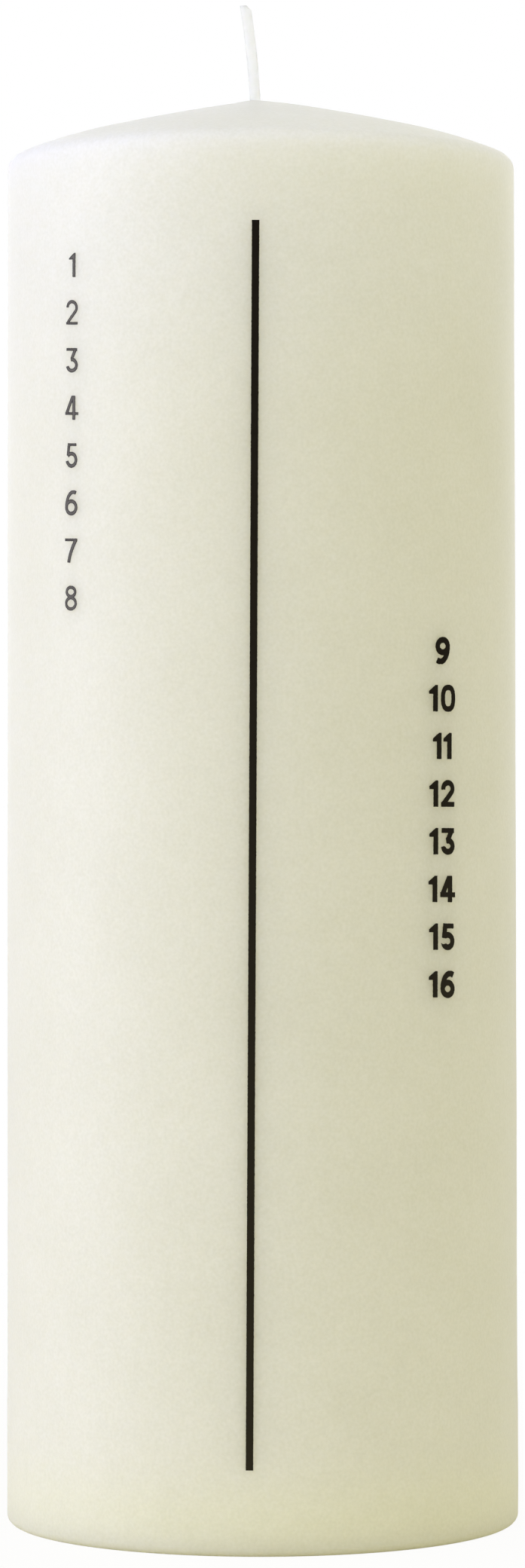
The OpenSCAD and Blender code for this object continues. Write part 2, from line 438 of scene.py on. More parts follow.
# %% Turn the wax body
meniscus, grip = 0.1, 2.5
channel_r = wick_r - 0.02
pocket_r = wick_r + plate_t + 0.02
lip_r, chamfer, bend_room = 0.25, 0.1, 0.62
profile = [(0.0, body_h + meniscus)]
profile += arc((channel_r + meniscus, body_h + meniscus), meniscus, 270, 180, 3)
profile += arc(crown_c, crown_r, slope_in, slope_mid, 24)
profile += arc(haunch_c, haunch_r, slope_mid, slope_out, 14)[1:]
profile += arc((wall_r1 - shoulder_r, wall_z1), shoulder_r, slope_out, 90, 12)[1:]
walk(profile, (wall_r0, wall_z0, 84), (foot_r, foot_h, 3), (foot_r, foot_edge_r, 7))
profile += arc((foot_r - foot_edge_r, foot_edge_r), foot_edge_r, 90, 180, 8)[1:]
walk(profile, (recess_r + lip_r, 0.0, 10))
profile += arc((recess_r + lip_r, lip_r), lip_r, 180, 270, 4)[1:]
walk(profile, (recess_r, recess_depth - chamfer, 2), (recess_r - chamfer, recess_depth, 1),
     (pocket_r + bend_room, recess_depth, 6), (pocket_r, recess_depth + bend_room, 3),
     (pocket_r, recess_depth + collar_h, 3), (channel_r, recess_depth + collar_h + chamfer, 1),
     (channel_r, lean_z, 8), (channel_r, body_h - grip, 6), (0.0, body_h - grip, 1))


def wick_follow(r, z):
    """How far a point of the wax follows the wick: all the way near it, not at all outside."""
    near, far = (1.0, 6.0) if z > wall_z0 else (recess_r + 0.3, 20.0)
    share = min(1.0, max(0.0, (far - r) / (far - near)))
    return share * share * (3 - 2 * share)


path_of_wick = {"Wick Offset": wick_x * MM, "Lean Height": lean_z * MM, "Lean Radius": lean_r * MM}


def turn(name, line, follow, crimp, inputs):
    """Turns a profile on the lathe. follow and crimp work out the two marks of each point."""
    marks = {"follow": [follow(r, z) for r, z in line], "crimp": [crimp(r, z) for r, z in line]}
    piece = new_piece(name, [(r * MM, 0.0, z * MM) for r, z in line], chain(len(line)), marks=marks)
    return grow(piece, LATHE, {**inputs, **path_of_wick})


wax_body = turn("wax_candle_body", profile, wick_follow, lambda r, z: 0.0,
                {"Sides": 320, "Waviness": 0.12 * MM, "Wave Size": 22 * MM, "Material": wax})
print(wax_body.name, len(profile), "profile points,", len(wax_body.data.polygons), "faces")

# %% [markdown]
# ## The wick sustainer
# A stamped disc with a collar drawn up out of its middle, pinched round the wick in four places. It is
# turned on the same lathe. Its rim and the mouth of the collar are rounded over, as stamping does.

# %% Turn the sustainer
clearance = 0.01
disc_z1 = recess_depth - clearance
disc_z0 = disc_z1 - plate_t
collar_in = wick_r + clearance
collar_out = collar_in + plate_t
collar_z1 = disc_z1 + collar_h
draw_r, mouth_r, half_t, pinch_depth = 0.6, 0.15, plate_t / 2, 0.05
shape = arc((disc_r - half_t, disc_z0 + half_t), half_t, 0, 180, 8)
walk(shape, (collar_in + mouth_r, disc_z0, 12))
shape += arc((collar_in + mouth_r, disc_z0 + mouth_r), mouth_r, 180, 270, 4)[1:]
walk(shape, (collar_in, collar_z1 - half_t, 14))
shape += arc((collar_in + half_t, collar_z1 - half_t), half_t, 270, 450, 8)[1:]
walk(shape, (collar_out, disc_z1 + draw_r, 12))
shape += arc((collar_out + draw_r, disc_z1 + draw_r), draw_r, 270, 180, 6)[1:]
walk(shape, (*shape[0], 12))


def collar_crimp(r, z):
    """Depth of the pinch in metres, deepest halfway up the collar."""
    share = (z - disc_z1 - draw_r) / (collar_h - draw_r)
    if r > collar_out + clearance or not 0 < share < 1:
        return 0.0
    return pinch_depth * MM * math.sin(math.pi * share) ** 2


sustainer = turn("wick_sustainer_tin", shape, lambda r, z: 1.0, collar_crimp,
                 {"Sides": 96, "Waviness": 0.0, "Wave Size": 10 * MM, "Material": tinplate})
print(sustainer.name, len(sustainer.data.polygons), "faces")

# %% [markdown]
# ## The wick
# A pillar's wick is a flat plait of three bundles of cotton yarns. In a plait each bundle's centre
# runs along a figure of eight: a sine sideways, and a sine of twice the pace front to back. So the
# tree makes one straight line, doubles it once for each yarn, and moves every point by that formula,
# with each yarn turning slowly inside its bundle. Then it leans the whole plait along the wick's path.
# Curves drawn by hand would never cross as evenly.

# %% The plait tree
BUNDLES, YARNS = 3, 4


def plait_tree():
    """Draws the yarns of the plait, whatever mesh it is given."""
    tree, put, given = start_tree(
        "Plait", Int=["Steps"],
        Float=["Length", "Start", "Pitch", "Sway", "Depth", "Bundle Radius", "Yarn Radius",
               "Wick Offset", "Lean Height", "Lean Radius"])
    upright = put("ShaderNodeCombineXYZ", {2: given["Length"]})
    line = put("GeometryNodeCurvePrimitiveLine", {"End": upright})
    line = put("GeometryNodeResampleCurve", {"Curve": line, "Count": given["Steps"]})
    copies = put("GeometryNodeDuplicateElements", {"Geometry": line, "Amount": BUNDLES * YARNS},
                 out=None, domain="SPLINE")
    copy = copies["Duplicate Index"]
    bundle = put(MATH, [copy, float(YARNS)], operation="DIVIDE")
    bundle = put(MATH, [bundle], operation="FLOOR")
    yarn = put(MATH, [copy, float(YARNS)], operation="MODULO")
    run = put("GeometryNodeSplineParameter", out="Length")

    # centre of the bundle across the plait
    turns = put(MATH, [run, given["Pitch"]], operation="DIVIDE")
    phase = put(MATH, [bundle, 1 / BUNDLES, turns], operation="MULTIPLY_ADD")
    phase = put(MATH, [phase, TAU], operation="MULTIPLY")
    double = put(MATH, [phase, 2.0], operation="MULTIPLY")
    side = put(MATH, [phase], operation="SINE")
    front = put(MATH, [double], operation="SINE")
    side = put(MATH, [side, given["Sway"]], operation="MULTIPLY")
    front = put(MATH, [front, given["Depth"]], operation="MULTIPLY")

    # the yarn's own place in its bundle, turning once in two pitches
    spin = put(MATH, [yarn, 1 / YARNS], operation="MULTIPLY")
    spin = put(MATH, [turns, 0.5, spin], operation="MULTIPLY_ADD")
    spin = put(MATH, [spin, TAU], operation="MULTIPLY")
    cosine, sine = [put(MATH, [spin], operation=work) for work in ("COSINE", "SINE")]
    side = put(MATH, [cosine, given["Bundle Radius"], side], operation="MULTIPLY_ADD")
    front = put(MATH, [sine, given["Bundle Radius"], front], operation="MULTIPLY_ADD")

    # the wick's path: upright, then an arc that leans to the left
    height = put(MATH, [run, given["Start"]], operation="ADD")
    risen = put(MATH, [height, given["Lean Height"]], operation="SUBTRACT")
    risen = put(MATH, [risen, 0.0], operation="MAXIMUM")
    lean = put(MATH, [risen, given["Lean Radius"]], operation="DIVIDE")
    lean_cos, lean_sin = [put(MATH, [lean], operation=work) for work in ("COSINE", "SINE")]
    reach = put(MATH, [given["Lean Radius"], side], operation="ADD")
    x = put(MATH, [reach, lean_cos, given["Wick Offset"]], operation="MULTIPLY_ADD")
    x = put(MATH, [x, given["Lean Radius"]], operation="SUBTRACT")
    low = put(MATH, [height, risen], operation="SUBTRACT")
    z = put(MATH, [reach, lean_sin, low], operation="MULTIPLY_ADD")
    leaned = put("ShaderNodeCombineXYZ", [x, front, z])
    moved = put("GeometryNodeSetPosition", {"Geometry": copies["Geometry"], "Position": leaned})
    ring = put("GeometryNodeCurvePrimitiveCircle", {"Resolution": 8, "Radius": given["Yarn Radius"]})
    yarns = put("GeometryNodeCurveToMesh", {"Curve": moved, "Profile Curve": ring, "Fill Caps": True})
    end_tree(put, given, put("GeometryNodeSetShadeSmooth", {"Geometry": yarns}))
    return tree


PLAIT = plait_tree()
print(PLAIT.name, len(PLAIT.nodes), "nodes for", BUNDLES * YARNS, "yarns")

# %% Plait the yarns
lean_len = lean_r * math.asin((body_h - lean_z + wick_free_h) / lean_r)
spare = 1.0
wick_len = lean_z - wick_z0 + lean_len + 2 * spare
steps_per_mm = 4
yarns = new_piece("bare_cotton_yarns", [(0, 0, 0)])
grow(yarns, PLAIT, {
    "Length": wick_len * MM, "Start": (wick_z0 - spare) * MM, "Steps": int(wick_len * steps_per_mm),
    "Pitch": 4.4 * MM, "Sway": 0.38 * MM, "Depth": 0.3 * MM, "Bundle Radius": 0.19 * MM,
    "Yarn Radius": 0.19 * MM, "Material": cotton, **path_of_wick})
print(yarns.name, len(yarns.data.polygons), "faces")

# %% [markdown]
# ## Priming the plait
# A wick is primed: it is drawn through molten wax, which closes the gaps between the yarns and leaves a
# soft relief of them. So the piece that shows is a skin. A tube of the wick's full width follows its
# path, and each of its points is sent towards the middle until it meets a yarn, but no deeper than to
# the radius up to which wax fills the gaps. A blur rounds the steps. Then two planes trim the tip, flat
# with a bevelled corner, as scissors do, and a third trims the lower end.

# %% The priming tree
def priming_tree():
    """Shrinks a tube round a path onto the yarns inside it."""
    tree, put, given = start_tree(
        "Primed skin", Object=["Yarns"], Float=["Radius", "Filled Radius"], Int=["Sides", "Blur"])
    path = put("GeometryNodeMeshToCurve", [given["Mesh"]])
    kept = tree.nodes.new("GeometryNodeCaptureAttribute")
    kept.capture_items.new("VECTOR", "Middle")
    plug(kept, {"Geometry": path, "Middle": put("GeometryNodeInputPosition")})
    ring = put("GeometryNodeCurvePrimitiveCircle", {"Resolution": given["Sides"],
                                                    "Radius": given["Radius"]})
    tube = put("GeometryNodeCurveToMesh", {"Curve": kept.outputs["Geometry"], "Profile Curve": ring,
                                           "Fill Caps": True})
    outside = put("GeometryNodeInputPosition")
    inward = put(VECTOR_MATH, [kept.outputs["Middle"], outside], operation="SUBTRACT")
    inward = put(VECTOR_MATH, [inward], operation="NORMALIZE")
    target = put("GeometryNodeObjectInfo", {"Object": given["Yarns"]}, out="Geometry")
    ray = put("GeometryNodeRaycast", {"Target Geometry": target, "Source Position": outside,
                                      "Ray Direction": inward, "Ray Length": given["Radius"]},
              out=None)
    deepest = put(MATH, [given["Radius"], given["Filled Radius"]], operation="SUBTRACT")
    depth = put(MATH, [ray["Hit Distance"], deepest], operation="MINIMUM")
    depth = put("GeometryNodeSwitch", {"Switch": ray["Is Hit"], "False": deepest, "True": depth},
                input_type="FLOAT")
    depth = put("GeometryNodeBlurAttribute", {"Value": depth, "Iterations": given["Blur"]})
    shrink = put(VECTOR_MATH, {0: inward, "Scale": depth}, operation="SCALE")
    skin = put("GeometryNodeSetPosition", {"Geometry": tube, "Offset": shrink})
    end_tree(put, given, put("GeometryNodeSetShadeSmooth", {"Geometry": skin}))
    return tree


PRIMING = priming_tree()
print(PRIMING.name, len(PRIMING.nodes), "nodes")

# %% Prime the wick
def wick_middle(run):
    """Middle of the wick in metres, at a length in millimetres along it from where it starts to lean."""
    angle = max(0.0, run) / lean_r
    x = wick_x - lean_r * (1 - math.cos(angle))
    z = lean_z + (lean_r * math.sin(angle) if run > 0 else run)
    return x * MM, 0.0, z * MM


coarse, fine, filled_r = 0.8, 0.09, 0.71
runs = [wick_z0 - spare - lean_z + k * coarse for k in range(int((lean_z + spare) / coarse))]
runs += [k * fine for k in range(int((lean_len + spare) / fine))]
wick = new_piece("primed_cotton_wick", [wick_middle(run) for run in runs], chain(len(runs)))
grow(wick, PRIMING, {"Yarns": yarns, "Radius": wick_r * MM, "Filled Radius": filled_r * MM,
                     "Sides": 72, "Blur": 1, "Material": cotton})
bpy.data.objects.remove(yarns)
print(wick.name, "before its cuts,", len(runs), "rings")

# %% Cut the wick
def cut(piece, point, direction):
    """Cuts off what lies beyond a plane and closes the cut."""
    work = bmesh.new()
    work.from_mesh(piece.data)
    everything = work.verts[:] + work.edges[:] + work.faces[:]
    made = bmesh.ops.bisect_plane(
        work, geom=everything, plane_co=point, plane_no=direction, clear_outer=True)
    rim = [e for e in made["geom_cut"] if isinstance(e, bmesh.types.BMEdge)]
    bmesh.ops.holes_fill(work, edges=rim, sides=0)
    work.to_mesh(piece.data)
    work.free()


tip_x, _, tip_z = wick_middle(lean_len)
snip, snip_x = math.radians(45), 0.17
cut(wick, (tip_x, 0, tip_z), (0, 0, 1))
cut(wick, (tip_x + snip_x * MM, 0, tip_z), (math.sin(snip), 0, math.cos(snip)))
cut(wick, (0, 0, wick_z0 * MM), (0, 0, -1))
print(wick.name, len(wick.data.polygons), "faces, tip", round(tip_z / MM, 1), "mm up")

# %% [markdown]
# ## The numerals, drawn flat
# The numerals are a plain condensed sans: uprights a little heavier than level bars, with square ends.
# A font could set them, but ten figures are soon drawn. Each is a short list of strokes, which are
# straight lines and parts of ovals, and each stroke is its width and its middle line.

# %% Strokes of the figures
cap_h = 3.36
digit_w, one_w = 2.45, 1.42
upright, rounded, level = 0.7, 0.66, 0.52


def oval(cx, cy, rx, ry, start=0, end=360, steps=28, power=1.0):
    """Points along part of an oval, anticlockwise in degrees from the right. power below 1 squares it."""
    turns = [math.radians(start + (end - start) * k / steps) for k in range(steps + 1)]
    spots = [(math.cos(t), math.sin(t)) for t in turns]
    return [(cx + rx * math.copysign(abs(c) ** power, c), cy + ry * math.copysign(abs(s) ** power, s))
            for c, s in spots]


def bend(start, pull, end, steps=8):
    """Points along a curve that leaves start towards pull and arrives at end."""
    shares = [k / steps for k in range(steps + 1)]
    return [tuple((1 - t) ** 2 * a + 2 * t * (1 - t) * b + t * t * c for a, b, c in zip(start, pull, end))
            for t in shares]


mid_x = digit_w / 2
bar_y = cap_h - level / 2
bowl_r = (digit_w - rounded) / 2
FIGURES = {
    "0": (2.66, [(0.59, oval(1.33, cap_h / 2, 1.0, cap_h / 2 - 0.25, steps=40, power=0.78))]),
    "1": (one_w, [(upright, [(one_w - upright / 2, 0.0), (one_w - upright / 2, 2.7)])]),
    "2": (digit_w, [(0.6, oval(mid_x, 2.34, bowl_r, 0.78, 186, -40) + [(0.34, 0.32)]),
                    (level, [(0.0, level / 2), (digit_w - 0.05, level / 2)])]),
    "3": (digit_w, [(level, [(0.08, bar_y), (2.34, bar_y)]),
                    (rounded, [(2.02, cap_h - 0.12), (1.2, 1.86)]),
                    (rounded, oval(mid_x, 1.03, bowl_r, 0.74, 108, -174))]),
    "4": (2.72, [(upright, [(1.78, 0.0), (1.78, cap_h)]),
                 (level, [(0.0, 0.92), (2.72, 0.92)]),
                 (rounded, [(0.3, 0.86), (1.72, cap_h + 0.1)])]),
    "5": (digit_w, [(level, [(0.42, bar_y), (2.28, bar_y)]),
                    (rounded, [(0.76, cap_h), (0.52, 1.56)]),
                    (rounded, oval(mid_x, 1.1, bowl_r, 0.82, 150, -174))]),
    "6": (2.56, [(rounded, oval(1.28, 1.1, 0.95, 0.83)),
                 (rounded, oval(1.72, 1.15, 1.39, 1.98, 180, 66))]),
    "7": (2.56, [(level, [(0.0, bar_y), (2.56, bar_y)]),
                 (upright, bend((0.8, 0.0), (1.05, 1.5), (2.26, cap_h - 0.2)))]),
    "8": (2.5, [(0.6, oval(1.25, 1.0, 0.95, 0.74)),
                (0.6, oval(1.25, 2.52, 0.84, 0.61))]),
}
# the 9 is the 6 turned round
width_6, strokes_6 = FIGURES["6"]
FIGURES["9"] = (width_6, [(weight, [(width_6 - x, cap_h - y) for x, y in stroke])
                          for weight, stroke in strokes_6])
ROUND_FIGURES = "0235689"
# the corners of the flag at the top of the 1, as shares of its width and height
FLAG = [(x * one_w, y * cap_h) for x, y in ((0, 0.69), (1, 0.69), (1, 1), (0.76, 1), (0, 0.78))]
print(len(FIGURES), "figures,", cap_h, "mm high")

# %% [markdown]
# ## From strokes to a mesh
# A field gives every point its depth inside the nearest stroke, so crossing strokes melt into one
# shape, as wet ink does. The outline is where the depth is zero. A little noise roughens it, because
# ink creeps, and a gain makes all strokes wider or finer, because no pass of the squeegee is alike.
# The field is read on a fine grid. A square wholly inside is kept, and one that the outline crosses
# is cut along it. This method is called marching squares.

# %% Depth inside the ink
FAR = 9.0


def stroke_depth(p, stroke, half, gain):
    """Depth of a point inside one stroke with square ends, below zero outside."""
    nearest = FAR
    for a, b in zip(stroke, stroke[1:]):
        dx, dy = b[0] - a[0], b[1] - a[1]
        share = ((p[0] - a[0]) * dx + (p[1] - a[1]) * dy) / (dx * dx + dy * dy)
        share = min(1.0, max(0.0, share))
        nearest = min(nearest, math.hypot(p[0] - a[0] - share * dx, p[1] - a[1] - share * dy))
    depth = half - nearest
    is_open = math.dist(stroke[0], stroke[-1]) > 0.1
    if is_open:
        for tip, inner in ((stroke[0], stroke[1]), (stroke[-1], stroke[-2])):
            if math.dist(p, tip) < 2 * half:
                out = (p[0] - tip[0]) * (tip[0] - inner[0]) + (p[1] - tip[1]) * (tip[1] - inner[1])
                depth = min(depth, gain - out / math.dist(tip, inner))
    return depth


def wedge_depth(p, corners, gain):
    """Depth of a point inside a convex patch whose corners run anticlockwise."""
    depth = FAR
    for a, b in zip(corners, corners[1:] + corners[:1]):
        dx, dy = b[0] - a[0], b[1] - a[1]
        depth = min(depth, (dx * (p[1] - a[1]) - dy * (p[0] - a[0])) / math.hypot(dx, dy))
    return depth + gain


def figure_depth(p, figure, gain):
    """Depth of a point inside one figure, kept between the foot and cap lines."""
    over = 0.07 if figure in ROUND_FIGURES else 0.0
    depth = max(stroke_depth(p, stroke, weight / 2 + gain, gain) for weight, stroke in FIGURES[figure][1])
    if figure == "1":
        depth = max(depth, wedge_depth(p, FLAG, gain))
    return min(depth, p[1] + over + gain, cap_h + over + gain - p[1])


print("depth in the middle of the 1:", round(figure_depth((1.12, 1.5), "1", 0.0), 2), "mm")

# %% Marching squares
cell, margin = 0.055, 0.2
figure_gap, one_kern = 0.7, 0.18
rag_depth, rag_scale = 0.03, 4.0


def set_figures(number):
    """Each figure of a numeral with its left edge, and the width of them all."""
    pens, width = [], 0.0
    for figure in str(number):
        if figure == "1" and width:
            width -= one_kern
        pens.append((figure, width))
        width += FIGURES[figure][0] + figure_gap
    return pens, width - figure_gap


def flat_numeral(number, gain, cover):
    """The numeral as a flat mesh facing the front, centred on the origin."""
    pens, width = set_figures(number)
    columns = int((width + 2 * margin) / cell) + 1
    rows = int((cap_h + 2 * margin) / cell) + 1
    seed = Vector((number * 7.3, 0.0, 0.0))
    depth = {}
    for i in range(columns + 1):
        for j in range(rows + 1):
            x, y = i * cell - margin, j * cell - margin
            rag = noise.noise(Vector((x, y, 0.0)) * rag_scale + seed) * rag_depth
            depth[i, j] = rag + max(figure_depth((x - pen, y), figure, gain) for figure, pen in pens)
    points, marks, index, faces = [], [], {}, []

    def corner(key, x, y, d):
        """The number of a corner of the mesh, which is made when it is first asked for."""
        if key not in index:
            index[key] = len(points)
            x, y = x * cell - margin, y * cell - margin
            points.append(((x - width / 2) * MM, 0.0, (y - cap_h / 2) * MM))
            marks.append(d)
        return index[key]

    for i in range(columns):
        for j in range(rows):
            ring = [(i, j), (i + 1, j), (i + 1, j + 1), (i, j + 1)]
            face = []
            for a, b in zip(ring, ring[1:] + ring[:1]):
                da, db = depth[a], depth[b]
                if da > 0:
                    face.append(corner(a, a[0], a[1], da))
                if (da > 0) != (db > 0):
                    t = da / (da - db)
                    key = (min(a, b), max(a, b))
                    face.append(corner(key, a[0] + (b[0] - a[0]) * t, a[1] + (b[1] - a[1]) * t, 0.0))
            if len(face) > 2:
                faces.append(face)
    return new_piece(f"day_{number:02d}", points, faces=faces,
                     marks={"edge_mm": marks, "cover": [cover] * len(points)})


print("the 24 is", round(set_figures(24)[1], 2), "mm wide")

# %% [markdown]
# ## Laying ink on the wax
# A print is flat until it meets the candle. The wrapping tree moves a flat mesh to its place on the
# print, turns it by the print's small lean, rolls it round the candle, and drops it onto the wax with
# a ray towards the centre line, so the film follows the real surface with all its waviness. Then the
# film gets its thickness, with its underside just below the skin of the wax. A Shrinkwrap modifier
# could lay it too, but it would make the figures too wide towards the sides.

# %% The wrapping tree
SUNK = 0.01 * MM


def wrap_tree():
    """Lays a flat mesh on the wax and thickens it to a closed film."""
    tree, put, given = start_tree(
        "Lay ink on the wax", Object=["Wax"],
        Float=["Along", "Height", "Slope", "Lean", "Middle", "Radius", "Film"])
    spot = put("ShaderNodeSeparateXYZ", [put("GeometryNodeInputPosition")], out=None)
    u = put(MATH, [spot["X"], given["Along"]], operation="ADD")
    z = put(MATH, [spot["X"], given["Slope"], spot["Z"]], operation="MULTIPLY_ADD")
    z = put(MATH, [z, given["Height"]], operation="ADD")
    up = put(MATH, [z, given["Middle"]], operation="SUBTRACT")
    leaned_u = put(MATH, [up, given["Lean"], u], operation="MULTIPLY_ADD")
    back = put(MATH, [u, given["Lean"]], operation="MULTIPLY")
    leaned_z = put(MATH, [z, back], operation="SUBTRACT")
    angle = put(MATH, [leaned_u, given["Radius"]], operation="DIVIDE")
    sine, cosine = [put(MATH, [angle], operation=work) for work in ("SINE", "COSINE")]
    minus = put(MATH, [cosine, -1.0], operation="MULTIPLY")
    outward = put("ShaderNodeCombineXYZ", [sine, minus])
    inward, ring, sunk = [put(VECTOR_MATH, {0: outward, "Scale": reach}, operation="SCALE")
                          for reach in (-1.0, 2 * foot_r * MM, -SUNK)]
    level = put("ShaderNodeCombineXYZ", {2: leaned_z})
    source = put(VECTOR_MATH, [ring, level], operation="ADD")
    target = put("GeometryNodeObjectInfo", {"Object": given["Wax"]}, out="Geometry")
    hit = put("GeometryNodeRaycast", {"Target Geometry": target, "Source Position": source,
                                      "Ray Direction": inward, "Ray Length": 1.0}, out="Hit Position")
    under = put(VECTOR_MATH, [hit, sunk], operation="ADD")
    laid = put("GeometryNodeSetPosition", {"Geometry": given["Mesh"], "Position": under})
    thick = put(MATH, [given["Film"], SUNK], operation="ADD")
    raised = put("GeometryNodeExtrudeMesh", {"Mesh": laid, "Offset Scale": thick, "Individual": False})
    underside = put("GeometryNodeFlipFaces", [laid])
    both = put("GeometryNodeJoinGeometry", [raised])
    tree.links.new(underside, both.node.inputs[0])
    closed = put("GeometryNodeMergeByDistance", {"Geometry": both, "Distance": 0.001 * MM})
    end_tree(put, given, closed)
    return tree


WRAP = wrap_tree()
print(WRAP.name, len(WRAP.nodes), "nodes")

# %% [markdown]
# ## Printing the line and the days
# The line is ruled up the front, from the foot to a little below the shoulder. Beside it stand the days
# in three rows of eight, an eighth of a turn to its left, an eighth to its right, and on round the
# back. Each row goes on down where the one before it stopped, so the numerals step down the candle as
# it burns. All of it was printed in one pass, so all of it shares one small lean.

# %% Rule the line
line_w, line_z0, line_z1 = 0.95, 11.4, body_h - 20.1
line_mid, line_cell, line_cover = (line_z0 + line_z1) / 2, 0.12, 0.99
line_rag, film_t, print_skew = 0.05, 0.04, 0.36
print_r = (wall_r0 + wall_r1) / 2
on_wax = {"Wax": wax_body, "Lean": math.tan(math.radians(print_skew)), "Middle": line_mid * MM,
          "Radius": print_r * MM, "Film": film_t * MM, "Material": ink}


def flat_line(width, length):
    """A flat ruled line with slightly ragged edges, centred on the origin."""
    across, rows = 8, int(length / line_cell)
    points, marks = [], []
    for j in range(rows + 1):
        z = length * (j / rows - 0.5)
        for i in range(across + 1):
            x = width * (i / across - 0.5)
            inner = 1 - abs(2 * i / across - 1)
            rag = noise.noise(Vector((9.0 * x, 2.6 * z, 4.0))) * line_rag * (1 - inner)
            points.append(((x + math.copysign(rag, x)) * MM, 0.0, z * MM))
            marks.append(min(inner * width / 2, length / 2 - abs(z)))
    faces = [(k, k + 1, k + across + 2, k + across + 1)
             for j in range(rows) for k in range(j * (across + 1), j * (across + 1) + across)]
    return new_piece("printed_line_ink", points, faces=faces,
                     marks={"edge_mm": marks, "cover": [line_cover] * len(points)})


line = flat_line(line_w, line_z1 - line_z0)
grow(line, WRAP, {"Along": 0.0, "Slope": 0.0, "Height": line_mid * MM, **on_wax})
print(line.name, len(line.data.polygons), "faces")

# %% [markdown]
# ## The days
# The left row came out thin and fine and the others full, so each row has its own gain and coverage.
# The left row's low coverage is partly its thin ink and partly a painted sheen of the key light. The
# level bars of the two front rows look level in the photograph, though they lie on a cylinder, above
# or below the camera, so each numeral there gets the small slope that undoes the perspective.

# %% Print the numerals
per_row, row_gap, set_gap, first_z = 8, 6.305, 0.38, 169.47
# for each row: its place round the candle in degrees, its gain in millimetres and its ink coverage,
# which on the left row is partly thin ink and partly a painted sheen of the key light
print_rows = [(-44.9, -0.08, 0.48), (45.25, 0.07, 1.0), (135, 0.05, 1.0)]
# height of the camera, and its distance from the numerals of the front rows
eye_z, eye_away = 100.9, 670.0
days = []
for number in range(1, len(print_rows) * per_row + 1):
    row = (number - 1) // per_row
    azimuth, gain, cover = print_rows[row]
    height = first_z - (number - 1) * row_gap - row * set_gap
    in_view = abs(azimuth) < 90
    slope = math.sin(math.radians(azimuth)) * (height - eye_z) / eye_away if in_view else 0.0
    day = flat_numeral(number, gain, cover)
    grow(day, WRAP, {"Along": math.radians(azimuth) * print_r * MM, "Slope": slope,
                     "Height": height * MM, **on_wax})
    days.append(day)
print(len(days), "numerals,", sum(len(day.data.polygons) for day in days), "faces")

# %% [markdown]
# ## Putting it together
# Every piece rides on the candle's one body.
# Four of them stand in for the plain solids of the measured model.

# %% Ride and replace
for piece, slot in [(wax_body, "wax"), (sustainer, "tinplate"), (wick, "cotton"), (line, "ink")]:
    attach(piece, "root")
for day in days:
    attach(day, "root")
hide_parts("wax_body")
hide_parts("wick_sustainer")
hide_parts("wick")
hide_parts("printed_line")

# %% [markdown]
# ## The studio
# The candle stands on cream paper in a white studio, and the camera sees both as white, but for the
# shadow at the foot. The paper has a faint warm glow, the light that it would bounce, and a brighter
# one under the candle, which lights the base. In reflections the studio is dim behind the camera and
# bright behind the candle, so the front of the ink stays dark and its sides shine.

# %% Paper
def seen_rays(put, path):
    """1 for a ray that comes from the camera, straight or through something clear."""
    return put(MATH, [path["Is Camera Ray"], path["Is Transmission Ray"]], operation="MAXIMUM")


sweep = bpy.data.materials.new("matt_paper_sweep")
sweep.use_nodes = True
sweep.node_tree.nodes.clear()
put = partial(add_node, sweep.node_tree)
place = put("ShaderNodeTexCoord", out="Object")
away = put(VECTOR_MATH, [place], out="Value", operation="LENGTH")
# the fibres of paper are finer, and are drawn at 1.5 mm, so that they show
grain_mm = 1.5
grain = put("ShaderNodeTexNoise", {"Vector": place, "Scale": 1 / (grain_mm * MM), "Detail": 2.0})
paper = put("ShaderNodeMix", {"Factor": grain, 6: linear("#EAE6C4"), 7: linear("#F1EDCE")}, **RGBA)
matt = put("ShaderNodeBsdfDiffuse", {"Color": paper})
# 1 under the candle, 0 from just inside its edge outwards
hidden = put("ShaderNodeMapRange", {"Value": away, "From Min": 28 * MM, "From Max": 33 * MM,
                                    "To Min": 1.0, "To Max": 0.0})
tint = put("ShaderNodeMix", {"Factor": hidden, 6: linear("#FFF4C8"), 7: linear("#E4E6FF")}, **RGBA)
power = put("ShaderNodeMapRange", {"Value": hidden, "To Min": 0.07, "To Max": 0.42})
glow = put("ShaderNodeEmission", {"Color": tint, "Strength": power})
plain = put("ShaderNodeAddShader", [matt, glow])
# how much of it the camera sees as white: nearly all beside the candle, and all further off
fade = put("ShaderNodeMapRange", {"Value": away, "From Min": 0.05, "From Max": 0.35,
                                  "To Min": 0.94, "To Max": 1.0})
seen = seen_rays(put, put("ShaderNodeLightPath", out=None))
share = put(MATH, [seen, fade], operation="MULTIPLY")
white = put("ShaderNodeEmission", {"Color": linear("#FFFFFF"), "Strength": 1.0})
lit = put("ShaderNodeMixShader", [share, plain, white])
# from beneath, the paper is clear
behind = put("ShaderNodeNewGeometry", out="Backfacing")
clear = put("ShaderNodeBsdfTransparent")
both = put("ShaderNodeMixShader", [behind, lit, clear])
put("ShaderNodeOutputMaterial", [both], out=None)

floor_half = 4.0
corners = [(x * floor_half, y * floor_half, 0) for x, y in ((-1, -1), (1, -1), (1, 1), (-1, 1))]
floor = new_piece("studio_floor", corners, faces=[(0, 1, 2, 3)])
floor.data.materials.append(sweep)
print(floor.name, 2 * floor_half, "m wide")

